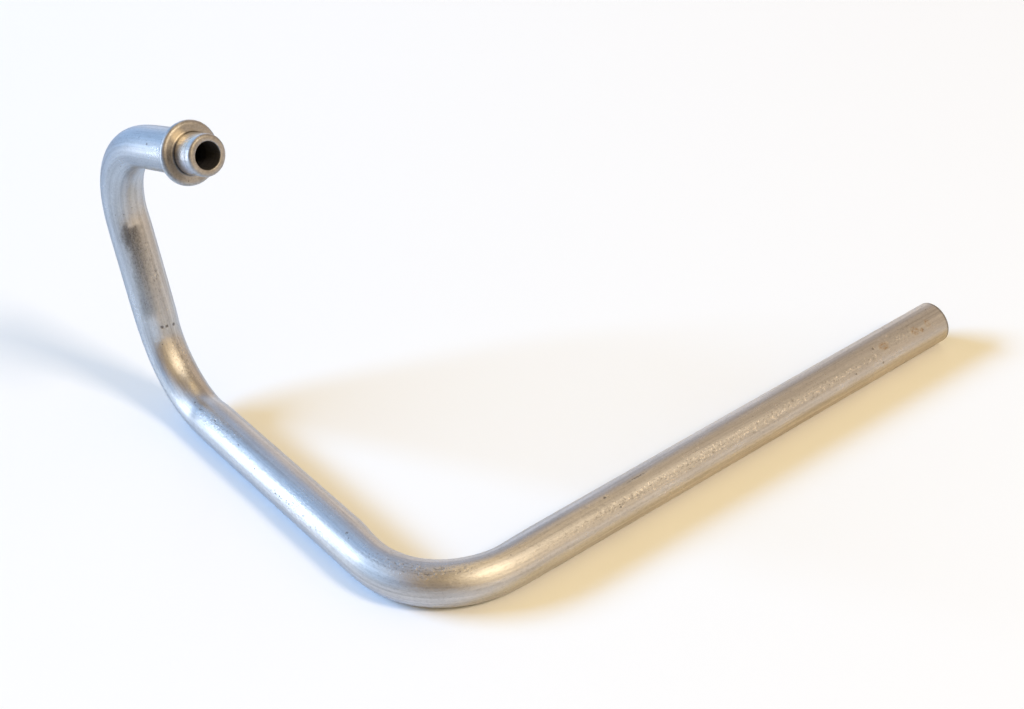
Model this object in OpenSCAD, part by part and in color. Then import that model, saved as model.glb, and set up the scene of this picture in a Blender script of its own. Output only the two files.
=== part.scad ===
// Bent steel tube with a cold-formed end: a plain leg and a base leg that lie flat, a riser,
// and a short head leg that ends in a collar and a pilot nose. One piece of drawn tube.

/* [Tube] */
// Outside diameter of the tube
tube_od = 12; // [10:0.5:14]
// Wall thickness of the tube
tube_wall = 2; // [1:0.1:2.2]

/* [Bends] */
// Radius of every bend, to the tube's centreline
bend_radius = 24; // [20:1:36]
// How far the tube's radius draws in through a bend
bend_draw = 0.15; // [0.15:0.05:0.4]
// Length of the taper that leads from a straight into a bend
bend_entry = 2.5; // [1.5:0.25:4]

/* [Run of the tube] */
// Straight length from the plain end to the first bend
plain_leg = 155; // [80:1:300]
// Angle of the first bend, which lies flat
first_bend = 93; // [60:1:110]
// Straight length between the first and second bends
base_leg = 86.5; // [60:0.5:160]
// Turn of the bend plane about the tube before the second bend
second_roll = -90; // [-100:1:-80]
// Angle of the second bend, which lifts the riser
second_bend = 80; // [60:1:95]
// Straight length between the second and third bends
riser_leg = 33; // [20:1:100]
// Turn of the bend plane about the tube before the third bend
third_roll = 7; // [-20:1:20]
// Angle of the third bend, which brings the head back over the base leg
third_bend = 87; // [60:1:110]
// Straight length from the third bend to the middle of the collar's rim
head_leg = 21.5; // [16:0.5:60]

/* [Formed end] */
// Outside diameter of the collar
collar_od = 17; // [16.5:0.1:20]
// Radius of the collar's rounded rim, which is half of its thickness
rim_radius = 1.3; // [1:0.05:1.5]
// Radius of the sweep from the tube out to the back of the collar
collar_sweep = 4; // [2.5:0.1:6]
// Outside diameter of the pilot nose
nose_od = 11; // [9:0.1:11.5]
// Length of the nose in front of the collar's face
nose_length = 8; // [5:0.5:14]
// Inside diameter of the nose
nose_bore = 7.2; // [4:0.1:7.5]
// Length of the step from the tube's bore to the nose's bore
bore_step = 2; // [1:0.1:4]
// Fillet where the nose meets the collar's face
nose_fillet = 0.6; // [0.2:0.05:0.7]
// Chamfer round the outside of the nose's tip
nose_chamfer = 0.5; // [0.1:0.05:0.8]
// Chamfer round the mouth of the nose's bore
mouth_chamfer = 0.25; // [0.1:0.05:0.5]

/* [Plain end] */
// Deburring chamfer round the outside of the plain end
plain_chamfer = 0.4; // [0.1:0.05:0.8]

/* [Hidden] */
$fn = 96;

tube_r = tube_od / 2;
bore_r = tube_r - tube_wall;
nose_r = nose_od / 2;
nose_bore_r = nose_bore / 2;
rim_centre = collar_od / 2 - rim_radius;
seat_height = head_leg + rim_radius;
tip_height = seat_height + nose_length;
sweep_centre = tube_r + collar_sweep;
sweep_height = head_leg - sqrt(pow(collar_sweep + rim_radius, 2) - pow(sweep_centre - rim_centre, 2));
// Each bend runs this many degrees on into its straights, and each taper starts this far inside it
bend_lap = 2.5;
taper_sink = 0.02;
overshoot = 1;

// Each straight runs up the local Z axis, and each bend turns it towards local X.
// The plain end's centre is the origin, with its mouth facing +X and the first bend turning to +Y.
module from_plain_end() {
    rotate([-90, 0, 0]) rotate([0, -90, 0]) children();
}

module past_bend(leg, angle) {
    translate([bend_radius, 0, leg]) rotate([0, angle, 0]) translate([-bend_radius, 0, 0]) children();
}

module on_base_leg() {
    past_bend(plain_leg, first_bend) rotate([0, 0, second_roll]) children();
}

module on_riser() {
    on_base_leg() past_bend(base_leg, second_bend) rotate([0, 0, third_roll]) children();
}

module on_head() {
    on_riser() past_bend(riser_leg, third_bend) children();
}

// First points of a half section, X being the radius and Y the way along the tube:
// a taper out of the bend before it, the chamfered plain end, or the open mouth of the bore
function from_bend(radius) = [
    [0, 0],
    [radius - bend_draw - taper_sink, 0],
    [radius, bend_entry]
];
function from_chamfer(radius) = [
    [0, 0],
    [radius - plain_chamfer, 0],
    [radius, plain_chamfer]
];
function from_mouth(radius) = [
    [0, -overshoot],
    [radius, -overshoot]
];
function into_bend(radius, leg) = [
    [radius, leg - bend_entry],
    [radius - bend_draw - taper_sink, leg],
    [0, leg]
];

// A straight of the given radius and the bend that follows it
module leg_and_bend(radius, leg, angle, first_points) {
    rotate_extrude() polygon(concat(first_points, into_bend(radius, leg)));
    translate([bend_radius, 0, leg]) rotate([-90, 0, 0])
        rotate_extrude(angle = angle + 2 * bend_lap, start = 180 - bend_lap)
        translate([bend_radius, 0]) circle(r = radius - bend_draw);
}

module legs(radius, first_points) {
    leg_and_bend(radius, plain_leg, first_bend, first_points);
    on_base_leg() leg_and_bend(radius, base_leg, second_bend, from_bend(radius));
    on_riser() leg_and_bend(radius, riser_leg, third_bend, from_bend(radius));
}

// Half section of the head leg, swept collar and nose
module head_outline() {
    polygon(concat(from_bend(tube_r), [[tube_r, head_leg], [0, head_leg]]));
    difference() {
        polygon([
            [0, sweep_height],
            [sweep_centre, sweep_height],
            [rim_centre, head_leg],
            [0, head_leg]
        ]);
        translate([sweep_centre, sweep_height]) circle(r = collar_sweep);
    }
    translate([rim_centre, head_leg]) circle(r = rim_radius);
    translate([0, head_leg]) square([rim_centre, rim_radius]);
    difference() {
        translate([0, seat_height]) square([nose_r + nose_fillet, nose_fillet]);
        translate([nose_r + nose_fillet, seat_height + nose_fillet]) circle(r = nose_fillet);
    }
    polygon([
        [0, seat_height],
        [nose_r, seat_height],
        [nose_r, tip_height - nose_chamfer],
        [nose_r - nose_chamfer, tip_height],
        [0, tip_height]
    ]);
}

// Half section of the head's bore, which narrows under the collar
module head_bore_outline() {
    polygon(concat(from_bend(bore_r), [
        [bore_r, head_leg - bore_step],
        [nose_bore_r, head_leg],
        [nose_bore_r, tip_height - mouth_chamfer],
        [nose_bore_r + mouth_chamfer + overshoot, tip_height + overshoot],
        [0, tip_height + overshoot]
    ]));
}

module bent_tube() {
    color("#b9b6b4") from_plain_end() difference() {
        union() {
            legs(tube_r, from_chamfer(tube_r));
            on_head() rotate_extrude() head_outline();
        }
        union() {
            legs(bore_r, from_mouth(bore_r));
            on_head() rotate_extrude() head_bore_outline();
        }
    }
}

bent_tube();
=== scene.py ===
# %% [markdown]
# # A bent steel tube with a formed end
#
# The real part starts as a straight length of cold-drawn steel tube. One end is upset cold into a
# swept collar with a pilot nose, and the tube is then bent three times on a tube bender. This lesson
# goes the same way: turn the straight stock, form its end, bend it with Geometry Nodes, then give it
# the finish of drawn bare steel that has been handled and left to spot a little.

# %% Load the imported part
import math

import bpy
from mathutils import Matrix, Vector


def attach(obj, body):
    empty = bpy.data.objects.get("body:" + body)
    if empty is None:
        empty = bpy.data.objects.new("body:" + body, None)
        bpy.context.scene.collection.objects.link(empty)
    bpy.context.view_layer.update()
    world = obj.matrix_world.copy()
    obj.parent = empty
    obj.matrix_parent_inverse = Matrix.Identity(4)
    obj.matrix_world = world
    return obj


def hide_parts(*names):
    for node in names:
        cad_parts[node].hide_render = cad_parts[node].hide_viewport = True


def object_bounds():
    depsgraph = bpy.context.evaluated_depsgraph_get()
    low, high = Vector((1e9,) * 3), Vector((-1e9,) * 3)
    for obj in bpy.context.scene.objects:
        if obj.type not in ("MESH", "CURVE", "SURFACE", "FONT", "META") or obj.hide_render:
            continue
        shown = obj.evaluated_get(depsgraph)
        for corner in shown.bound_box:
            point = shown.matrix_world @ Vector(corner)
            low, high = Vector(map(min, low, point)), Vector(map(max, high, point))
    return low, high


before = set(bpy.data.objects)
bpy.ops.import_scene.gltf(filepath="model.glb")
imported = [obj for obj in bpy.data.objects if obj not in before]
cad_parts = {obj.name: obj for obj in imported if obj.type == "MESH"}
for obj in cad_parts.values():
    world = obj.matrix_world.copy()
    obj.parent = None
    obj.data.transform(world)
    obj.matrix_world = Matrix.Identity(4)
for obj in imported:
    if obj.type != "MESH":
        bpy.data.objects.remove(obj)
cad_low, cad_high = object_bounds()
print("CAD box, mm:", [round(v * 1000, 2) for v in (*cad_low, *cad_high)])

# %% [markdown]
# ## Three small helpers
#
# Sizes are written in millimetres and colours as hex values, because that is how a drawing and a
# colour picker give them. Blender wants metres and linear light. The third helper adds one node,
# sets it and wires it, so a node tree reads as a list of what it does.

# %% Helpers
MM = 0.001


def linear(hex_colour):
    """A hex colour such as #C0BEBB as linear red, green, blue and alpha."""
    shares = [int(hex_colour[i:i + 2], 16) / 255 for i in (1, 3, 5)]
    return [c / 12.92 if c <= 0.04045 else ((c + 0.055) / 1.055) ** 2.4 for c in shares] + [1.0]


def add(tree, kind, sockets=None, **settings):
    """Add a node; each entry of sockets is a value to set or another node's output to link."""
    node = tree.nodes.new(kind)
    for name, value in settings.items():
        setattr(node, name, value)
    for socket, value in (sockets or {}).items():
        if isinstance(value, bpy.types.NodeSocket):
            tree.links.new(value, node.inputs[socket])
        else:
            node.inputs[socket].default_value = value
    return node


print("helpers ready; steel grey is", [round(v, 3) for v in linear("#B9B6B4")[:3]])

# %% [markdown]
# ## The run of the tube
#
# A bending sheet lists straights and bends in the order in which the bender makes them. A place on
# the tube is then its station, the distance along the middle line from the plain end. The three
# bends share one radius, and each has a roll: how far the tube is turned about itself before it is
# bent.

# %% The bending sheet
TUBE_R = 6.0
BORE_R = 4.0
BEND_R = 24.0
STRAIGHTS = {"plain_leg": 155.0, "base_leg": 86.5, "riser": 33.0, "head_leg": 21.5}
ANGLES = [93.0, 80.0, 87.0]
ROLLS = [0.0, -90.0, -83.0]

bend_starts = []
bend_ends = []
station = 0.0
for straight, angle in zip(list(STRAIGHTS.values())[:3], ANGLES):
    bend_starts.append(station + straight)
    station = bend_starts[-1] + BEND_R * math.radians(angle)
    bend_ends.append(station)
head_start = bend_ends[-1]
print("bends start at", [round(s, 1) for s in bend_starts], "and end at", [round(s, 1) for s in bend_ends])

# %% [markdown]
# ## The outline of the stock
#
# Half a section of a turned piece is one line: station across, radius up. This line runs along the
# skin from the plain end, over the swept collar and the nose, and back through the bore, so the
# mesh it gives is closed and has no caps and no poles. The collar is a hollow sweep that meets a
# round rim, which is what cold upsetting leaves, and the seat in front of it is flat for its seal.

# %% Outline of the skin
COLLAR_SWEEP_R = 4.0
RIM_R = 1.3
RIM_CENTRE_R = 7.2
NOSE_R = 5.5
NOSE_BORE_R = 3.6
NOSE_FILLET_R = 0.6
NOSE_LENGTH = 8.0

rim_at = head_start + STRAIGHTS["head_leg"]
sweep_centre_r = TUBE_R + COLLAR_SWEEP_R
sweep_reach = COLLAR_SWEEP_R + RIM_R
sweep_at = rim_at - math.sqrt(sweep_reach ** 2 - (sweep_centre_r - RIM_CENTRE_R) ** 2)
meeting = math.degrees(math.atan2(RIM_CENTRE_R - sweep_centre_r, rim_at - sweep_at))
seat_at = rim_at + RIM_R
tip_at = seat_at + NOSE_LENGTH


def arc(centre_at, centre_r, radius, first, last, steps):
    """Points of an arc in the half section, by angle in degrees from the way along the tube."""
    turns = [math.radians(first + (last - first) * i / steps) for i in range(steps + 1)]
    return [(centre_at + radius * math.cos(t), centre_r + radius * math.sin(t)) for t in turns]


def run(first, last, radius, step):
    """Evenly spaced points at one radius, without the last one."""
    count = max(1, round(abs(last - first) / step))
    return [(first + (last - first) * i / count, radius) for i in range(count)]


RING_STEP = 1.5
EDGE_R = 0.35
TIP_R = 1.0
skin = arc(EDGE_R, TUBE_R - EDGE_R, EDGE_R, 180, 90, 6)
skin += run(EDGE_R + 0.6, sweep_at - 0.2, TUBE_R, RING_STEP)
skin += arc(sweep_at, sweep_centre_r, COLLAR_SWEEP_R, -90, meeting, 14)
skin += arc(rim_at, RIM_CENTRE_R, RIM_R, 180 + meeting, 0, 20)[1:]
skin += arc(seat_at + NOSE_FILLET_R, NOSE_R + NOSE_FILLET_R, NOSE_FILLET_R, 180, 270, 8)
skin += run(seat_at + NOSE_FILLET_R + 0.4, tip_at - (TIP_R + 0.1), NOSE_R, 0.8)
skin += arc(tip_at - TIP_R, NOSE_R - TIP_R, TIP_R, 90, 0, 10)
print(len(skin), "points on the skin; collar", 2 * (RIM_CENTRE_R + RIM_R), "mm across")

# %% [markdown]
# The bore is seen only through its two mouths, yet a hole that ends in a flat disc shows at once, so
# it runs the whole way at the tube's real wall. It narrows a little where the collar was upset.

# %% Outline of the bore
NOSE_MOUTH_R = 0.4
PLAIN_MOUTH_R = 0.25
MOUTH_STEPS = 4
BORE_STEP = 2.0
bore = arc(tip_at - NOSE_MOUTH_R, NOSE_BORE_R + NOSE_MOUTH_R, NOSE_MOUTH_R, 0, -90, MOUTH_STEPS)
bore += run(tip_at - 2 * NOSE_MOUTH_R, rim_at, NOSE_BORE_R, 1.0)
bore += [(rim_at, NOSE_BORE_R), (rim_at - BORE_STEP, BORE_R)]
bore += run(rim_at - BORE_STEP - 1.0, 0.7, BORE_R, 2.0)
bore += arc(PLAIN_MOUTH_R, BORE_R + PLAIN_MOUTH_R, PLAIN_MOUTH_R, 270, 180, MOUTH_STEPS)
outline = skin + bore
print(len(outline), "points in the closed outline")

# %% [markdown]
# ## Turning the stock
#
# Every outline point becomes a ring, and each ring is joined to the next and the last to the first.
# A Screw modifier could spin the line too; by hand the ring count and the order of the corners are
# known, so all faces look outwards and the rings can carry a value, here 1 inside the bore. The UV map
# runs round the tube and along it, and the gloss will use it to follow the drawing lines.

# %% Straight stock
SEGMENTS = 96
corners = []
for at, radius in outline:
    for j in range(SEGMENTS):
        turn = 2 * math.pi * j / SEGMENTS
        corners.append((radius * math.cos(turn) * MM, radius * math.sin(turn) * MM, at * MM))
faces = []
for i in range(len(outline)):
    here, ahead = i * SEGMENTS, (i + 1) % len(outline) * SEGMENTS
    for j in range(SEGMENTS):
        k = (j + 1) % SEGMENTS
        faces.append((here + j, here + k, ahead + k, ahead + j))
stock_mesh = bpy.data.meshes.new("straight_stock")
stock_mesh.from_pydata(corners, [], faces)
round_and_along = stock_mesh.uv_layers.new(name="round_and_along")
for i, (at, _) in enumerate(outline):
    for j in range(SEGMENTS):
        first = 4 * (i * SEGMENTS + j)
        ahead_at = outline[(i + 1) % len(outline)][0]
        spots = ((j, at), (j + 1, at), (j + 1, ahead_at), (j, ahead_at))
        for k, (step, corner_at) in enumerate(spots):
            round_and_along.uv[first + k].vector = (step / SEGMENTS, corner_at * MM)
in_bore = stock_mesh.attributes.new("in_bore", "FLOAT", "POINT")
dark = range(len(skin) + MOUTH_STEPS + 1, len(outline) - MOUTH_STEPS - 1)
in_bore.data.foreach_set("value", [float(i in dark) for i in range(len(outline)) for _ in range(SEGMENTS)])
stock = bpy.data.objects.new("straight_stock", stock_mesh)
bpy.context.scene.collection.objects.link(stock)
print("stock:", len(corners), "corners,", len(faces), "faces")

# %% [markdown]
# ## One bend as a node group
#
# A bender holds the tube at a station and rolls what follows round a former. In nodes that is one
# rule for every point: work out how far round the former its station is, set the point back to the
# cross-section there, turn it by that angle, and move it to where the former has carried it. The
# same rule leaves points before the bend alone and swings points after it as one stiff length.
#
# A tube is not stiff across its section. In a tight bend it goes a little flat, and its inner side is
# drawn in where the former lets go. The group has inputs for both, so the outline and the highlights
# change in the bend as they do on the real part.

# %% Node group: one bend
one_bend = bpy.data.node_groups.new("one_bend", "GeometryNodeTree")
BEND_INPUTS = ["Station", "Start", "Radius", "Angle", "Roll", "Flatten", "Narrow", "Entry dent", "Exit dent"]
one_bend.interface.new_socket("Position", in_out="INPUT", socket_type="NodeSocketVector")
for name in BEND_INPUTS:
    one_bend.interface.new_socket(name, in_out="INPUT", socket_type="NodeSocketFloat")
one_bend.interface.new_socket("Position", in_out="OUTPUT", socket_type="NodeSocketVector")
given = add(one_bend, "NodeGroupInput").outputs

travel = add(one_bend, "ShaderNodeMath", {0: given["Station"], 1: given["Start"]}, operation="SUBTRACT")
turn = add(one_bend, "ShaderNodeMath", {0: travel.outputs[0], 1: given["Radius"]}, operation="DIVIDE")
turn = add(one_bend, "ShaderNodeClamp", {0: turn.outputs[0], 1: 0.0, 2: given["Angle"]}).outputs[0]
end = add(one_bend, "ShaderNodeMath", {0: given["Angle"], 1: given["Radius"], 2: given["Start"]},
          operation="MULTIPLY_ADD").outputs[0]
section = add(one_bend, "ShaderNodeMath", {0: turn, 1: given["Radius"], 2: given["Start"]},
              operation="MULTIPLY_ADD")
section = add(one_bend, "ShaderNodeCombineXYZ", {2: section.outputs[0]})
across = add(one_bend, "ShaderNodeVectorMath", {0: given["Position"], 1: section.outputs[0]},
             operation="SUBTRACT")

roll_cos = add(one_bend, "ShaderNodeMath", {0: given["Roll"]}, operation="COSINE").outputs[0]
roll_sin = add(one_bend, "ShaderNodeMath", {0: given["Roll"]}, operation="SINE").outputs[0]
roll_back = add(one_bend, "ShaderNodeMath", {0: roll_sin, 1: -1.0}, operation="MULTIPLY").outputs[0]
inward = add(one_bend, "ShaderNodeCombineXYZ", {0: roll_cos, 1: roll_sin}).outputs[0]
hinge = add(one_bend, "ShaderNodeCombineXYZ", {0: roll_back, 1: roll_cos}).outputs[0]
print("one_bend so far:", len(one_bend.nodes), "nodes")

# %% Node group: what the bend does to the section
FLATTEN_REACH = 9.0
DENT_REACH = 11.0
EXIT_DENT_PAST = 3.0
INNER_FALL = 1.7


def near(place, reach):
    """A smooth hump over the stations near one place, 1 there and 0 beyond the reach."""
    gap = add(one_bend, "ShaderNodeMath", {0: given["Station"], 1: place}, operation="SUBTRACT")
    gap = add(one_bend, "ShaderNodeMath", {0: gap.outputs[0]}, operation="ABSOLUTE")
    return add(one_bend, "ShaderNodeMapRange", {0: gap.outputs[0], 1: 0.0, 2: reach * MM, 3: 1.0, 4: 0.0},
               interpolation_type="SMOOTHSTEP").outputs[0]


middle = add(one_bend, "ShaderNodeMath", {0: given["Start"], 1: end}, operation="ADD")
middle = add(one_bend, "ShaderNodeMath", {0: middle.outputs[0], 1: 0.5}, operation="MULTIPLY").outputs[0]
half = add(one_bend, "ShaderNodeMath", {0: end, 1: middle}, operation="SUBTRACT").outputs[0]
inside = add(one_bend, "ShaderNodeMath", {0: half, 1: -FLATTEN_REACH * 0.5 * MM}, operation="ADD").outputs[0]
outside = add(one_bend, "ShaderNodeMath", {0: half, 1: FLATTEN_REACH * 0.5 * MM}, operation="ADD").outputs[0]
gap = add(one_bend, "ShaderNodeMath", {0: given["Station"], 1: middle}, operation="SUBTRACT")
gap = add(one_bend, "ShaderNodeMath", {0: gap.outputs[0]}, operation="ABSOLUTE")
worked = add(one_bend, "ShaderNodeMapRange", {0: gap.outputs[0], 1: inside, 2: outside, 3: 1.0, 4: 0.0},
             interpolation_type="SMOOTHSTEP").outputs[0]

shaped = across.outputs[0]
depth_in = add(one_bend, "ShaderNodeVectorMath", {0: shaped, 1: inward},
               operation="DOT_PRODUCT").outputs["Value"]
depth_side = add(one_bend, "ShaderNodeVectorMath", {0: shaped, 1: hinge},
                 operation="DOT_PRODUCT").outputs["Value"]
for way, depth, share in ((inward, depth_in, given["Flatten"]), (hinge, depth_side, given["Narrow"])):
    loss = add(one_bend, "ShaderNodeMath", {0: depth, 1: share}, operation="MULTIPLY")
    loss = add(one_bend, "ShaderNodeMath", {0: loss.outputs[0], 1: worked}, operation="MULTIPLY")
    loss = add(one_bend, "ShaderNodeVectorMath", {0: way, "Scale": loss.outputs[0]}, operation="SCALE")
    shaped = add(one_bend, "ShaderNodeVectorMath", {0: shaped, 1: loss.outputs[0]},
                 operation="SUBTRACT").outputs[0]

inner_side = add(one_bend, "ShaderNodeMath", {0: depth_in, 1: TUBE_R * MM}, operation="DIVIDE")
inner_side = add(one_bend, "ShaderNodeClamp", {0: inner_side.outputs[0], 1: 0.0, 2: 1.0})
inner_side = add(one_bend, "ShaderNodeMath", {0: inner_side.outputs[0], 1: INNER_FALL},
                 operation="POWER").outputs[0]
exit_place = add(one_bend, "ShaderNodeMath", {0: end, 1: EXIT_DENT_PAST * MM}, operation="ADD").outputs[0]
for place, dent in ((given["Start"], given["Entry dent"]), (exit_place, given["Exit dent"])):
    loss = add(one_bend, "ShaderNodeMath", {0: near(place, DENT_REACH), 1: dent}, operation="MULTIPLY")
    loss = add(one_bend, "ShaderNodeMath", {0: loss.outputs[0], 1: inner_side}, operation="MULTIPLY")
    loss = add(one_bend, "ShaderNodeVectorMath", {0: inward, "Scale": loss.outputs[0]}, operation="SCALE")
    shaped = add(one_bend, "ShaderNodeVectorMath", {0: shaped, 1: loss.outputs[0]},
                 operation="SUBTRACT").outputs[0]
print("one_bend so far:", len(one_bend.nodes), "nodes")

# %% Node group: round the former
swung = add(one_bend, "ShaderNodeVectorRotate", {"Vector": shaped, "Axis": hinge, "Angle": turn})
turn_cos = add(one_bend, "ShaderNodeMath", {0: turn}, operation="COSINE")
lean = add(one_bend, "ShaderNodeMath", {0: 1.0, 1: turn_cos.outputs[0]}, operation="SUBTRACT")
lean = add(one_bend, "ShaderNodeMath", {0: lean.outputs[0], 1: given["Radius"]}, operation="MULTIPLY")
lean = add(one_bend, "ShaderNodeVectorMath", {0: inward, "Scale": lean.outputs[0]}, operation="SCALE")
rise = add(one_bend, "ShaderNodeMath", {0: turn}, operation="SINE")
rise = add(one_bend, "ShaderNodeMath", {0: rise.outputs[0], 1: given["Radius"], 2: given["Start"]},
           operation="MULTIPLY_ADD")
rise = add(one_bend, "ShaderNodeCombineXYZ", {2: rise.outputs[0]})
place = add(one_bend, "ShaderNodeVectorMath", {0: lean.outputs[0], 1: rise.outputs[0]}, operation="ADD")
place = add(one_bend, "ShaderNodeVectorMath", {0: place.outputs[0], 1: swung.outputs[0]}, operation="ADD")
add(one_bend, "NodeGroupOutput", {0: place.outputs[0]})
print("one_bend:", len(one_bend.nodes), "nodes")

# %% [markdown]
# ## The tube bender
#
# Bends are applied from the far end back to the plain end. The bender works the other way round, but
# a bend swings all that follows it, so starting with the last one means that each group still finds
# its own stretch straight. Before anything moves, each point's place on the straight stock is stored
# as the attribute `unbent`. The finish reads it, so that drawing lines follow the bends.

# %% Geometry Nodes tree
bender = bpy.data.node_groups.new("tube_bender", "GeometryNodeTree")
bender.interface.new_socket("Geometry", in_out="INPUT", socket_type="NodeSocketGeometry")
bender.interface.new_socket("Steel", in_out="INPUT", socket_type="NodeSocketMaterial")
bender.interface.new_socket("Bend radius", in_out="INPUT", socket_type="NodeSocketFloat")
BENDS = ["First bend", "Second bend", "Third bend"]
PER_BEND = ["start", "angle", "roll", "flatten", "narrow", "entry dent", "exit dent"]
for bend in BENDS:
    for name in PER_BEND:
        bender.interface.new_socket(f"{bend} {name}", in_out="INPUT", socket_type="NodeSocketFloat")
bender.interface.new_socket("Geometry", in_out="OUTPUT", socket_type="NodeSocketGeometry")

given = add(bender, "NodeGroupInput").outputs
straight_place = add(bender, "GeometryNodeInputPosition").outputs[0]
kept = add(bender, "GeometryNodeStoreNamedAttribute",
           {"Geometry": given["Geometry"], "Name": "unbent", "Value": straight_place},
           data_type="FLOAT_VECTOR", domain="POINT")
stations = add(bender, "ShaderNodeSeparateXYZ", {0: straight_place}).outputs[2]
moved = straight_place
for bend in reversed(BENDS):
    wires = {"Position": moved, "Station": stations, "Radius": given["Bend radius"]}
    wires.update({name.capitalize(): given[f"{bend} {name}"] for name in PER_BEND})
    moved = add(bender, "GeometryNodeGroup", wires, node_tree=one_bend).outputs[0]
split = add(bender, "ShaderNodeSeparateXYZ", {0: moved}).outputs
turned = [add(bender, "ShaderNodeMath", {0: split[i], 1: -1.0}, operation="MULTIPLY").outputs[0]
          for i in (2, 1)]
laid = add(bender, "ShaderNodeCombineXYZ", {0: turned[0], 1: split[0], 2: turned[1]}).outputs[0]
bent = add(bender, "GeometryNodeSetPosition", {"Geometry": kept.outputs[0], "Position": laid})
smooth = add(bender, "GeometryNodeSetShadeSmooth", {0: bent.outputs[0]})
real = add(bender, "GeometryNodeRealizeInstances", {0: smooth.outputs[0]})
steeled = add(bender, "GeometryNodeSetMaterial", {"Geometry": real.outputs[0], "Material": given["Steel"]})
add(bender, "NodeGroupOutput", {0: steeled.outputs[0]})
print("tube_bender:", len(bender.nodes), "nodes,", len(bender.interface.items_tree), "sockets")

# %% [markdown]
# ## The finish: cold-drawn bare steel
#
# Cold drawing pulls the tube through a die. It leaves a clean grey metal with a soft gloss and fine
# lines along its length. Handling, a clamp and damp air add the rest: a rubbed, dark patch on the
# riser, dots, short scratches, and a few rust spots by the plain end. All of it is drawn in the
# stock's own straight coordinates, in millimetres, so each pattern's scale is a real size.

# %% Places on the straight stock
steel = bpy.data.materials.new("cold_drawn_bare_steel")
steel.use_nodes = True
finish = steel.node_tree
finish.nodes.clear()

unbent = add(finish, "ShaderNodeAttribute", attribute_name="unbent")
place = add(finish, "ShaderNodeVectorMath", {0: unbent.outputs["Vector"], "Scale": 1 / MM},
            operation="SCALE").outputs[0]
bore_share = add(finish, "ShaderNodeAttribute", attribute_name="in_bore").outputs["Fac"]
px, py, along = add(finish, "ShaderNodeSeparateXYZ", {0: place}).outputs
round_about = add(finish, "ShaderNodeMath", {0: py, 1: px}, operation="ARCTAN2").outputs[0]
arc_mm = add(finish, "ShaderNodeMath", {0: round_about, 1: TUBE_R}, operation="MULTIPLY").outputs[0]
print("finish: coordinates from", unbent.attribute_name)

# %% [markdown]
# The drawing lines are really about 0.05 mm apart. That is finer than a pixel of the picture, so
# they are drawn 0.8 mm apart. The grain is 0.35 mm for the same reason. Broad blotches of 8 by 14 mm
# are where the skin is a little more or less polished. Each pattern is a noise with a size across the
# tube and one along it in millimetres, then its detail and its roughness.

# %% Drawing lines, blotches and grain
PATTERNS = {
    "drawn_lines": (0.8, 45.0, 3.0, 0.65),
    "broad_lines": (1.8, 90.0, 1.0, 0.5),
    "blotches": (8.0, 14.0, 3.0, 0.55),
    "grain": (0.35, 0.5, 2.0, 0.6),
    "waves": (2.6, 7.0, 2.0, 0.5),
    "scuffs": (0.55, 1.0, 2.0, 0.6),
}
patterns = {}
for name, (across_mm, along_mm, detail, rough) in PATTERNS.items():
    scaled = add(finish, "ShaderNodeVectorMath", {0: place, 1: (1 / across_mm, 1 / across_mm, 1 / along_mm)},
                 operation="MULTIPLY")
    noise = {"Vector": scaled.outputs[0], "Scale": 1.0, "Detail": detail, "Roughness": rough}
    patterns[name] = add(finish, "ShaderNodeTexNoise", noise).outputs[0]
print("patterns:", ", ".join(patterns))

# %% [markdown]
# Pits are small corroded holes. A Voronoi texture gives one random point to each cell, and a random
# value of the cell decides which have a pit: one in five.

# %% Pits
PIT_CELL = 2.2
PIT_R = 0.26
PIT_PICK = 0.80
cells = add(finish, "ShaderNodeTexVoronoi", {"Vector": place, "Scale": 1 / PIT_CELL})
pit_core = add(finish, "ShaderNodeMapRange",
               {0: cells.outputs["Distance"], 1: 0.4 * PIT_R / PIT_CELL, 2: PIT_R / PIT_CELL, 3: 1.0, 4: 0.0},
               interpolation_type="SMOOTHSTEP")
pit_pick = add(finish, "ShaderNodeSeparateColor", {0: cells.outputs["Color"]})
pit_pick = add(finish, "ShaderNodeMath", {0: pit_pick.outputs[0], 1: PIT_PICK}, operation="GREATER_THAN")
pits = add(finish, "ShaderNodeMath", {0: pit_core.outputs[0], 1: pit_pick.outputs[0]},
           operation="MULTIPLY").outputs[0]
print("finish:", len(finish.nodes), "nodes")

# %% [markdown]
# ## Marks at known places
#
# Some marks stand where the eye goes first, so they have a place of their own: station in mm, angle
# round the tube in degrees, radius in mm, and how far each is stretched along the tube. Each is the
# distance from its point, with a little noise so that no mark is a perfect disc. The formed head gets
# painted light: a painted highlight above, painted shade on the lower left of the seat, and a painted
# blue-white reflection on the lower left of the nose. Painted shade also darkens the riser just above
# the rubbed patch.

# %% Dark dots, scratches, rust spots, worn places, painted highlights and painted shade
DARK_MARKS = [
    (315.2, -101, 0.7, 1.0), (315.0, -87, 0.62, 1.0), (314.5, -64, 0.7, 1.0), (393.5, 153, 0.5, 1.3),
    (232.8, -154, 0.3, 1.6), (230.8, -153, 0.3, 1.2), (232.8, 167, 0.28, 5.0), (202.0, -107, 0.5, 1.0),
    (125.2, -106, 0.5, 1.3), (122.8, -146, 0.28, 1.6), (28.0, -118, 0.6, 1.0), (37.5, -154, 0.4, 1.2),
    (27.0, -164, 0.35, 1.4), (114.0, -101, 0.24, 20.0), (279.0, -120, 0.22, 5.0), (270.5, -117, 0.3, 3.0),
    (268.5, -121, 0.2, 6.0), (256.0, -124, 0.22, 4.0), (283.5, -115, 0.3, 2.5),
]
RUST_SPOTS = [(12.2, -132, 1.7, 1.2), (7.0, -130, 1.5, 1.0), (24.5, -126, 1.8, 1.4), (10.0, -140, 0.9, 1.0)]
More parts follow.
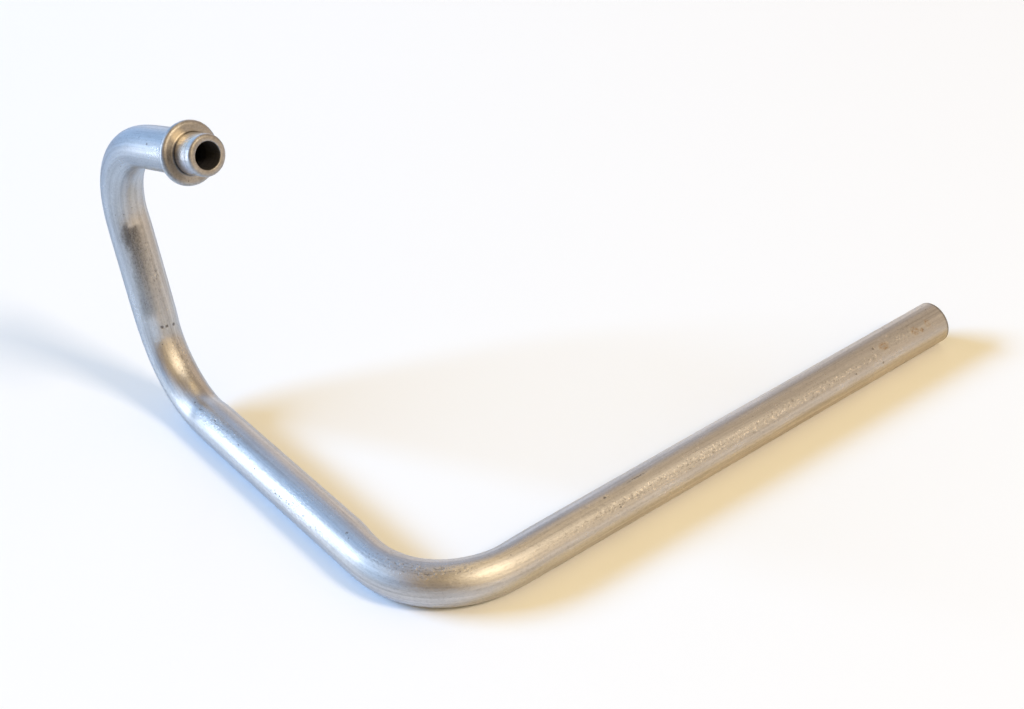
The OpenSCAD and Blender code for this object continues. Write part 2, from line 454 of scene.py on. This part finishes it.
WORN = [(82.0, -140, 1.9, 42.0), (302.0, -76, 3.2, 3.5), (270.0, -118, 2.8, 6.0), (333.0, -82, 2.2, 6.0),
        (178.0, -112, 3.0, 6.0), (20.0, -122, 3.0, 3.0), (222.0, -150, 2.0, 10.0)]
# painted shade on the riser just above the rubbed patch
PAINTED_RISER_SHADE = [(350.0, -98, 6.5, 4.5)]
# painted highlights, above on the collar's seat and on the nose
PAINTED_HIGHLIGHTS = [(seat_at, 120, 2.6, 0.5), (tip_at - 3.4, 112, 5.2, 0.6)]
# painted shade on the lower left of the collar's seat
PAINTED_SEAT_SHADE = [(seat_at + 0.1, -160, 6.5, 0.2)]
# painted blue-white reflection on the lower left of the nose
PAINTED_NOSE_REFLECTION = [(tip_at - 4.0, -152, 3.6, 0.9)]
SOLID_PART = 0.35
RAGGED_MM = 0.7
ragged = add(finish, "ShaderNodeTexNoise", {"Vector": place, "Scale": 2.2, "Detail": 2.0})
ragged = add(finish, "ShaderNodeVectorMath", {0: ragged.outputs["Color"], 1: (0.5, 0.5, 0.5)},
             operation="SUBTRACT")
ragged = add(finish, "ShaderNodeVectorMath", {0: ragged.outputs[0], "Scale": RAGGED_MM}, operation="SCALE")
ragged = add(finish, "ShaderNodeVectorMath", {0: place, 1: ragged.outputs[0]}, operation="ADD").outputs[0]


def marks_at(spots):
    """The largest of all the marks in a list, 1 in the middle of a mark."""
    worst = 0.0
    for at, angle, radius, stretch in spots:
        spot = (TUBE_R * math.cos(math.radians(angle)), TUBE_R * math.sin(math.radians(angle)), at)
        gap = add(finish, "ShaderNodeVectorMath", {0: ragged, 1: spot}, operation="SUBTRACT")
        gap = add(finish, "ShaderNodeVectorMath", {0: gap.outputs[0], 1: (1, 1, 1 / stretch)},
                  operation="MULTIPLY")
        gap = add(finish, "ShaderNodeVectorMath", {0: gap.outputs[0]}, operation="LENGTH")
        mark = add(finish, "ShaderNodeMapRange",
                   {0: gap.outputs["Value"], 1: SOLID_PART * radius, 2: radius, 3: 1.0, 4: 0.0},
                   interpolation_type="SMOOTHSTEP").outputs[0]
        worst = add(finish, "ShaderNodeMath", {0: worst, 1: mark}, operation="MAXIMUM").outputs[0]
    return worst


dots = marks_at(DARK_MARKS)
rust = marks_at(RUST_SPOTS)
worn = marks_at(WORN)
painted_riser_shade = marks_at(PAINTED_RISER_SHADE)
painted_highlight = marks_at(PAINTED_HIGHLIGHTS)
painted_seat_shade = marks_at(PAINTED_SEAT_SHADE)
painted_nose_reflection = marks_at(PAINTED_NOSE_REFLECTION)
print(len(DARK_MARKS), "dark marks,", len(RUST_SPOTS), "rust spots,", len(WORN), "worn stretches")

# %% [markdown]
# Rust breaks up into specks. A worn stretch is speckled too: high spots are rubbed bright and low
# spots keep their dirt. The rest of the skin has about a third of that.

# %% Specks
rust_specks = add(finish, "ShaderNodeMapRange",
                  {0: patterns["scuffs"], 1: 0.36, 2: 0.62, 3: 0.15, 4: 1.0}).outputs[0]
rust = add(finish, "ShaderNodeMath", {0: rust, 1: rust_specks}, operation="MULTIPLY").outputs[0]
PLAIN_WEAR = 0.30
BRIGHT_RANGE, DARK_RANGE = (0.57, 0.68), (0.43, 0.33)
wear = add(finish, "ShaderNodeMapRange", {0: worn, 3: PLAIN_WEAR, 4: 1.0}).outputs[0]
specks = []
for none, full in (BRIGHT_RANGE, DARK_RANGE):
    share = add(finish, "ShaderNodeMapRange", {0: patterns["scuffs"], 1: none, 2: full}).outputs[0]
    specks.append(add(finish, "ShaderNodeMath", {0: share, 1: wear}, operation="MULTIPLY").outputs[0])
bright_specks, dark_specks = specks
print("wear is", PLAIN_WEAR, "on plain skin and 1 along the worn stretches")

# %% [markdown]
# Dirt also stays in rings: at the cut of the plain end, in the sweep behind the collar, on the collar,
# in two fine marks that the forming tool left on the nose, and on its tip. The dark ring in the corner
# in front of the collar is painted shade. A ring has a station, a reach in mm to either side, and the
# most that it covers.

# %% Rings of dirt and painted shade
RINGS = [
    # the ring at seat_at + 0.45, in the corner in front of the collar, is painted shade
    (0.3, 0.7, 0.6), (rim_at - 3.6, 1.2, 0.3), (seat_at - 0.2, 1.5, 0.24), (seat_at + 0.45, 0.9, 0.75),
    (tip_at - 4.6, 0.3, 0.4), (tip_at - 2.4, 0.3, 0.5), (tip_at, 1.4, 0.34),
]
rings = 0.0
for at, reach, most in RINGS:
    gap = add(finish, "ShaderNodeMath", {0: along, 1: at}, operation="SUBTRACT").outputs[0]
    gap = add(finish, "ShaderNodeMath", {0: gap}, operation="ABSOLUTE").outputs[0]
    ring = add(finish, "ShaderNodeMapRange", {0: gap, 1: 0.0, 2: reach, 3: most, 4: 0.0},
               interpolation_type="SMOOTHSTEP").outputs[0]
    rings = add(finish, "ShaderNodeMath", {0: rings, 1: ring}, operation="MAXIMUM").outputs[0]
print(len(RINGS), "rings of dirt")

# %% [markdown]
# The rubbed patch on the riser is about 27 mm long and 4 mm wide. Something with square edges has
# pressed there: its upper edge is sharp, its lower end fades, and it is sooty at its upper left. Its
# places along and across are frayed by a noise, so that no edge is a straight line.

# %% Rubbed patch on the riser
RUB_LOW, RUB_HIGH = 318.5, 346.0
RUB_LEFT, RUB_RIGHT = -13.7, -9.7
RUB_LEAN = 0.9
RUB_DEPTHS = (0.53, 0.78)
RUB_GRAIN = (1.08, 0.70)
FRAY_MM = 2.6
frayed = add(finish, "ShaderNodeTexNoise", {"Vector": place, "Scale": 0.9, "Detail": 3.0, "Roughness": 0.65})
frayed = add(finish, "ShaderNodeVectorMath", {0: frayed.outputs["Color"], 1: (0.5, 0.5, 0.5)},
             operation="SUBTRACT")
frayed = add(finish, "ShaderNodeVectorMath", {0: frayed.outputs[0], "Scale": FRAY_MM},
             operation="SCALE").outputs[0]
fray_a, fray_b, _ = add(finish, "ShaderNodeSeparateXYZ", {0: frayed}).outputs
rub_along = add(finish, "ShaderNodeMath", {0: fray_a, 1: 0.6, 2: along}, operation="MULTIPLY_ADD").outputs[0]
rub_across = add(finish, "ShaderNodeMath", {0: fray_b, 1: 0.8, 2: arc_mm},
                 operation="MULTIPLY_ADD").outputs[0]
lean_share = add(finish, "ShaderNodeMapRange",
                 {0: along, 1: RUB_LOW, 2: RUB_HIGH, 3: -RUB_LEAN, 4: RUB_LEAN}).outputs[0]
rub_across = add(finish, "ShaderNodeMath", {0: rub_across, 1: lean_share}, operation="SUBTRACT").outputs[0]
EDGES = [(rub_along, RUB_LOW - 1.5, RUB_LOW + 3.0), (rub_along, RUB_HIGH + 0.8, RUB_HIGH - 0.8),
         (rub_across, RUB_LEFT - 1.4, RUB_LEFT + 0.8), (rub_across, RUB_RIGHT + 2.0, RUB_RIGHT - 2.0)]
rub = 1.0
for value, none, full in EDGES:
    edge = add(finish, "ShaderNodeMapRange", {0: value, 1: none, 2: full}, interpolation_type="SMOOTHSTEP")
    rub = add(finish, "ShaderNodeMath", {0: rub, 1: edge.outputs[0]}, operation="MULTIPLY").outputs[0]
rub_depth = add(finish, "ShaderNodeMapRange",
                {0: along, 1: RUB_LOW + 10, 2: RUB_HIGH - 3, 3: RUB_DEPTHS[0], 4: RUB_DEPTHS[1]}).outputs[0]
rub_grain = add(finish, "ShaderNodeMapRange",
                {0: patterns["grain"], 1: 0.36, 2: 0.62, 3: RUB_GRAIN[0], 4: RUB_GRAIN[1]}).outputs[0]
rub = add(finish, "ShaderNodeMath", {0: rub, 1: rub_depth}, operation="MULTIPLY").outputs[0]
rub = add(finish, "ShaderNodeMath", {0: rub, 1: rub_grain}, operation="MULTIPLY", use_clamp=True).outputs[0]

SOOT_AT = (-3.355, -5.088, 343.0)
SOOT_R = 2.6
SOOT_MOST = 0.76
SOOT_SQUEEZE = (1.0, 1.0, 0.42)
soot = add(finish, "ShaderNodeVectorMath", {0: place, 1: SOOT_AT}, operation="SUBTRACT")
soot = add(finish, "ShaderNodeVectorMath", {0: soot.outputs[0], 1: SOOT_SQUEEZE}, operation="MULTIPLY")
soot = add(finish, "ShaderNodeVectorMath", {0: soot.outputs[0], 1: frayed}, operation="ADD")
soot = add(finish, "ShaderNodeVectorMath", {0: soot.outputs[0]}, operation="LENGTH")
soot = add(finish, "ShaderNodeMapRange", {0: soot.outputs["Value"], 1: 0.3, 2: SOOT_R, 3: SOOT_MOST, 4: 0.0},
           interpolation_type="SMOOTHSTEP").outputs[0]
rub = add(finish, "ShaderNodeMath", {0: rub, 1: soot}, operation="MAXIMUM").outputs[0]
print("rubbed patch:", RUB_HIGH - RUB_LOW, "by", round(RUB_RIGHT - RUB_LEFT, 1), "mm")

# %% [markdown]
# ## Colour, gloss and bump
#
# Bare steel is a light grey. Blotches and drawing lines shift it a little, dirt darkens it in the
# rubbed patch, the dots and the pits, and rust is brown and no longer quite metal. Painted highlights,
# painted shade and a painted reflection lie on the formed head, and painted shade on the riser above
# the rubbed patch. The bore is darkened partly by the dark scale of the mill, an oxide that is only
# half metal to the eye, and partly by painted shade. A layer has a pattern, the values at which it
# starts and is full, the most that it covers, and its colour. Gloss and relief come from the same
# patterns, since what is dirty is also rougher, and what is pitted is lower.

# %% Colour
colour = add(finish, "ShaderNodeMix", {0: patterns["blotches"], 6: linear("#C4C2C1"), 7: linear("#E3E1E0")},
             data_type="RGBA").outputs[2]
LAYERS = [
    (patterns["drawn_lines"], 0.42, 0.72, 0.38, "#86827F"),
    (patterns["broad_lines"], 0.45, 0.70, 0.28, "#9C9794"),
    (patterns["grain"], 0.55, 0.75, 0.25, "#7E7A76"),
    (dark_specks, 0.0, 1.0, 0.50, "#6E665E"),
    (bright_specks, 0.0, 1.0, 0.55, "#F4EEE2"),
    # rings of dirt, and painted shade in the corner in front of the collar
    (rings, 0.0, 1.0, 1.0, "#4A4038"),
    # painted shade on the riser above the rubbed patch
    (painted_riser_shade, 0.0, 1.0, 0.14, "#8A7F74"),
    # painted highlight on the formed head
    (painted_highlight, 0.0, 1.0, 0.60, "#FFF2DA"),
    # painted shade on the lower left of the seat
    (painted_seat_shade, 0.0, 1.0, 0.50, "#2E2620"),
    # painted blue-white reflection on the nose
    (painted_nose_reflection, 0.0, 1.0, 0.50, "#F6F5FF"),
    (rub, 0.0, 1.0, 0.95, "#37322F"),
    (pits, 0.0, 1.0, 0.70, "#4E4842"),
    (dots, 0.0, 1.0, 0.62, "#3A2F27"),
    (rust, 0.0, 1.0, 0.80, "#85602F"),
    # darker inside the bore: mill scale and painted shade
    (bore_share, 0.0, 1.0, 0.9, "#44414A"),
]
for pattern, none, full, most, tint in LAYERS:
    share = add(finish, "ShaderNodeMapRange", {0: pattern, 1: none, 2: full, 3: 0.0, 4: most}).outputs[0]
    colour = add(finish, "ShaderNodeMix", {0: share, 6: colour, 7: linear(tint)}, data_type="RGBA").outputs[2]
print(len(LAYERS), "layers of colour")

# %% Gloss
ROUGHER = [
    (patterns["drawn_lines"], 0.06), (patterns["grain"], 0.05), (bright_specks, -0.08), (dark_specks, 0.08),
    (painted_riser_shade, 0.10), (rub, 0.14), (rings, 0.15), (pits, 0.2), (dots, 0.2), (rust, 0.3), (bore_share, 0.2),
]
gloss = add(finish, "ShaderNodeMapRange",
            {0: patterns["blotches"], 1: 0.3, 2: 0.7, 3: 0.28, 4: 0.22}).outputs[0]
for pattern, most in ROUGHER:
    gloss = add(finish, "ShaderNodeMath", {0: pattern, 1: most, 2: gloss}, operation="MULTIPLY_ADD",
                use_clamp=True).outputs[0]
print(len(ROUGHER), "patterns change the gloss")

# %% Bump
RELIEF = [
    (patterns["drawn_lines"], 1.1), (patterns["grain"], 0.7), (patterns["broad_lines"], 0.9),
    (patterns["waves"], 1.6), (bright_specks, 0.9), (dark_specks, -0.9), (pits, -1.5), (dots, -1.2),
    (rust, 0.6),
]
RELIEF_MM = 0.04
height = 0.0
for pattern, share in RELIEF:
    height = add(finish, "ShaderNodeMath", {0: pattern, 1: share, 2: height},
                 operation="MULTIPLY_ADD").outputs[0]
bump = add(finish, "ShaderNodeBump", {"Strength": 1.0, "Distance": RELIEF_MM * MM, "Height": height})
print(len(RELIEF), "patterns make the relief")

# %% Shader
RUST_METAL = 0.4
SCALE_METAL = 0.55
metal_share = add(finish, "ShaderNodeMapRange", {0: rust, 3: 1.0, 4: RUST_METAL})
scale_share = add(finish, "ShaderNodeMath", {0: bore_share, 1: SCALE_METAL - 1.0, 2: 1.0},
                  operation="MULTIPLY_ADD")
metal_share = add(finish, "ShaderNodeMath", {0: metal_share.outputs[0], 1: scale_share.outputs[0]},
                  operation="MULTIPLY")
round_the_tube = add(finish, "ShaderNodeTangent", direction_type="UV_MAP", uv_map="round_and_along")
shader = add(finish, "ShaderNodeBsdfPrincipled",
             {"Base Color": colour, "Metallic": metal_share.outputs[0], "Roughness": gloss,
              "Normal": bump.outputs[0], "Anisotropic": 0.6, "Tangent": round_the_tube.outputs[0]})
add(finish, "ShaderNodeOutputMaterial", {"Surface": shader.outputs[0]})
print("finish:", len(finish.nodes), "nodes")

# %% [markdown]
# ## Bending the stock
#
# The modifier's inputs are set by identifier, and the evaluated result is kept as a plain mesh.
# The four shape values of a bend are the share of the width lost in its plane, the share lost across
# it, and the dents in mm where the former takes hold and lets go. The second bend went flattest; the
# first was drawn in where the former let go of it.

# %% Run the bender
SHAPES = {
    "First bend": (0.045, 0.0, 0.45, 0.95),
    "Second bend": (0.11, 0.03, 0.15, 0.15),
    "Third bend": (0.05, 0.015, 0.2, 0.2),
}
settings = {"Steel": steel, "Bend radius": BEND_R * MM}
for i, bend in enumerate(BENDS):
    flatten, narrow, entry_dent, exit_dent = SHAPES[bend]
    values = (bend_starts[i] * MM, math.radians(ANGLES[i]), math.radians(ROLLS[i]), flatten, narrow,
              entry_dent * MM, exit_dent * MM)
    settings.update({f"{bend} {name}": value for name, value in zip(PER_BEND, values)})
SHARP_DEGREES = 40
modifier = stock.modifiers.new("tube_bender", "NODES")
modifier.node_group = bender
for item in bender.interface.items_tree:
    if item.in_out == "INPUT" and item.name in settings:
        modifier[item.identifier] = settings[item.name]
tube_mesh = bpy.data.meshes.new_from_object(stock.evaluated_get(bpy.context.evaluated_depsgraph_get()))
tube_mesh.name = "bent_steel_tube"
tube_mesh.set_sharp_from_angle(angle=math.radians(SHARP_DEGREES))
stock.modifiers.clear()
bpy.data.objects.remove(stock)
tube = bpy.data.objects.new("bent_steel_tube", tube_mesh)
bpy.context.scene.collection.objects.link(tube)
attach(tube, "root")
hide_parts("bent_tube")
print("tube:", len(tube_mesh.polygons), "faces, materials", [m.name for m in tube_mesh.materials])

# %% [markdown]
# ## Floor
#
# The tube lies on a plain white sheet, a large plane at the height of its underside. The camera sees
# the sheet white. Bare metal has no colour of its own to speak of, so the tint of what it mirrors
# counts: for the steel the sheet carries painted light, warm in front, cool towards the left, and a
# darker blue-grey towards the back.

# %% White floor with painted light in its reflection
FLOOR_HALF = 4.0
LEFTWARD = (-0.78, 0.62, 0.0)
COOL_FROM, COOL_TO = 0.04, 0.26
BACK_FROM, BACK_TO = 0.12, 0.28
floor_height = cad_low[2]
floor_mesh = bpy.data.meshes.new("floor")
ends = ((-1, -1), (1, -1), (1, 1), (-1, 1))
floor_mesh.from_pydata([(x * FLOOR_HALF, y * FLOOR_HALF, floor_height) for x, y in ends], [], [(0, 1, 2, 3)])
floor = bpy.data.objects.new("floor", floor_mesh)
bpy.context.scene.collection.objects.link(floor)
paper = bpy.data.materials.new("matt_white_paper")
paper.use_nodes = True
sheet = paper.node_tree
sheet.nodes.clear()
spot = add(sheet, "ShaderNodeNewGeometry").outputs["Position"]
# painted light on the sheet as the steel mirrors it: warm in front, cool to the left, darker at the back
leftward = add(sheet, "ShaderNodeVectorMath", {0: spot, 1: LEFTWARD},
               operation="DOT_PRODUCT").outputs["Value"]
cool_side = add(sheet, "ShaderNodeMapRange", {0: leftward, 1: COOL_FROM, 2: COOL_TO},
                interpolation_type="SMOOTHSTEP").outputs[0]
painted_light_tint = add(sheet, "ShaderNodeMix", {0: cool_side, 6: linear("#F2E8DC"), 7: linear("#D4E6FB")},
             data_type="RGBA").outputs[2]
backward = add(sheet, "ShaderNodeSeparateXYZ", {0: spot}).outputs[1]
back_side = add(sheet, "ShaderNodeMapRange", {0: backward, 1: BACK_FROM, 2: BACK_TO},
                interpolation_type="SMOOTHSTEP").outputs[0]
painted_light_tint = add(sheet, "ShaderNodeMix", {0: back_side, 6: painted_light_tint, 7: linear("#B2C4DC")},
             data_type="RGBA").outputs[2]
mirrored = add(sheet, "ShaderNodeLightPath").outputs["Is Glossy Ray"]
white = add(sheet, "ShaderNodeMix", {0: mirrored, 6: linear("#F7F7F7"), 7: painted_light_tint}, data_type="RGBA")
matt = add(sheet, "ShaderNodeBsdfPrincipled",
           {"Base Color": white.outputs[2], "Roughness": 0.35, "Specular IOR Level": 0.5})
add(sheet, "ShaderNodeOutputMaterial", {"Surface": matt.outputs[0]})
floor_mesh.materials.append(paper)
print("floor at", round(floor_height / MM, 2), "mm")

# %% [markdown]
# ## Light
#
# Two large soft lamps stand on opposite sides: a cool one behind on the left, and a warmer, smaller
# one in front on the right. Where the tube blocks one lamp, the other colours the shadow. They are far
# off, so that the white of the sheet is even. Steel would show them as hard patches, so it doesn't see
# them. It mirrors the room, and a small white card that stands by the base leg and gives that leg its
# long highlight.

# %% Lamps
MIDDLE = (-0.1, 0.07, 0.0)
BASE_LEG = (-0.179, 0.07, 0.0)


def lamp(name, azimuth, elevation, distance, width, height, watts, colour, aim):
    """An area lamp that looks at the aim, placed by angles in degrees and sizes in metres."""
    data = bpy.data.lights.new(name, "AREA")
    data.shape = "RECTANGLE"
    data.size = width
    data.size_y = height
    data.energy = watts
    data.color = colour
    around, up = math.radians(azimuth), math.radians(elevation)
    way = Vector((math.cos(around) * math.cos(up), math.sin(around) * math.cos(up), math.sin(up)))
    place = bpy.data.objects.new(name, data)
    facing = way.to_track_quat("Z", "Y").to_matrix().to_4x4()
    place.matrix_world = Matrix.Translation(Vector(aim) + way * distance) @ facing
    place.visible_camera = place.visible_glossy = False
    bpy.context.scene.collection.objects.link(place)
    return place


lamp("cool_lamp", azimuth=131, elevation=29, distance=12.0, width=6.7, height=2.9,
     watts=1080, colour=(0.56, 1.08, 1.94), aim=MIDDLE)
lamp("warm_lamp", azimuth=-76, elevation=43, distance=8.0, width=1.6, height=1.6,
     watts=278, colour=(1.15, 0.96, 0.75), aim=MIDDLE)
card = lamp("card_by_the_tube", azimuth=131, elevation=12, distance=0.43, width=0.14, height=0.21,
            watts=0.235, colour=(0.92, 1.0, 1.08), aim=BASE_LEG)
card.visible_glossy, card.visible_diffuse = True, False

# %% [markdown]
# The room is a dim warm wall with soft glows on it. A glow has an azimuth and an elevation, the angles
# within which it is full and beyond which it is gone, and a colour. Blue daylight comes from the back,
# and lamplight from the front and above. The sheet gets a plainer version of the same room as its fill
# light, stronger from the warm side, and the camera sees white.

# %% Room
world = bpy.data.worlds.new("pale_room")
bpy.context.scene.world = world
world.use_nodes = True
room = world.node_tree
room.nodes.clear()
way = add(room, "ShaderNodeTexCoord").outputs["Generated"]
WALLS = (0.396, 0.315, 0.235)
GLOWS = [
    (-1, -20, 2, 110, (0.33, 0.26, 0.20)), (117, -2, 38, 90, (0.06, 0.40, 0.90)),
    (141, 24, 6, 36, (0.41, 0.45, 0.47)), (-78, 52, 2, 31, (1.46, 1.25, 0.91)),
    (-91, 33, 10, 43, (0.67, 0.51, 0.29)), (31, 74, 2, 21, (0.85, 0.63, 0.31)),
    (56, 8, 2, 23, (0.32, 0.19, 0.0)), (-78, 7, 10, 28, (0.15, 0.13, 0.10)),
    (183, 52, 23, 41, (0.14, 0.08, 0.0)),
]
FILL_WALLS = (0.30, 0.23, 0.105)
FILL = [(-76, 40, 20, 110, (0.41, 0.315, 0.145))]


def glowing(base, glows):
    """A colour by direction: the base with each glow added round its middle."""
    for azimuth, elevation, full, none, colour in glows:
        around, up = math.radians(azimuth), math.radians(elevation)
        aim = (math.cos(around) * math.cos(up), math.sin(around) * math.cos(up), math.sin(up))
        facing = add(room, "ShaderNodeVectorMath", {0: way, 1: aim}, operation="DOT_PRODUCT").outputs["Value"]
        share = add(room, "ShaderNodeMapRange",
                    {0: facing, 1: math.cos(math.radians(none)), 2: math.cos(math.radians(full))},
                    interpolation_type="SMOOTHSTEP").outputs[0]
        base = add(room, "ShaderNodeVectorMath", {0: share, 1: colour, 2: base},
                   operation="MULTIPLY_ADD").outputs[0]
    return base


path = add(room, "ShaderNodeLightPath").outputs
seen = add(room, "ShaderNodeMath", {0: path["Is Glossy Ray"], 1: path["Is Transmission Ray"]},
           operation="MAXIMUM")
fill = add(room, "ShaderNodeBackground", {"Color": glowing(FILL_WALLS, FILL), "Strength": 1.0})
mirrored = add(room, "ShaderNodeBackground", {"Color": glowing(WALLS, GLOWS), "Strength": 1.0})
around = add(room, "ShaderNodeMixShader", {0: seen.outputs[0], 1: fill.outputs[0], 2: mirrored.outputs[0]})
white = add(room, "ShaderNodeBackground", {"Color": (1.0, 1.0, 1.0, 1.0), "Strength": 1.0})
backdrop = add(room, "ShaderNodeMixShader",
               {0: path["Is Camera Ray"], 1: around.outputs[0], 2: white.outputs[0]})
add(room, "ShaderNodeOutputWorld", {"Surface": backdrop.outputs[0]})
bpy.context.scene.view_settings.view_transform = "Standard"
print("room:", len(room.nodes), "nodes")

# %% [markdown]
# ## Camera
#
# The camera's place was worked out from the edges of the tube in the picture: it stands about 0.54 m
# away, looks down at 33 degrees and is rolled by 6 degrees. The lens follows from the same fit.

# %% Camera
CAMERA_AT = Vector((-368.853, -310.032, 302.868)) * MM
CAMERA_RIGHT = Vector((0.777609, -0.622672, -0.087195))
CAMERA_FORWARD = Vector((0.488502, 0.685630, -0.539702))
SENSOR_MM = 36.0
LENS_MM = 68.467
camera_up = CAMERA_RIGHT.cross(CAMERA_FORWARD)
turned = Matrix((CAMERA_RIGHT, camera_up, -CAMERA_FORWARD)).transposed().to_4x4()
camera_data = bpy.data.cameras.new("camera")
camera_data.sensor_width = SENSOR_MM
camera_data.sensor_fit = "HORIZONTAL"
camera_data.lens = LENS_MM
camera_data.clip_start = 0.01
camera = bpy.data.objects.new("camera", camera_data)
camera.matrix_world = Matrix.Translation(CAMERA_AT) @ turned
bpy.context.scene.collection.objects.link(camera)
bpy.context.scene.camera = camera
print("camera at", [round(v / MM) for v in CAMERA_AT], "mm, lens", LENS_MM, "mm")
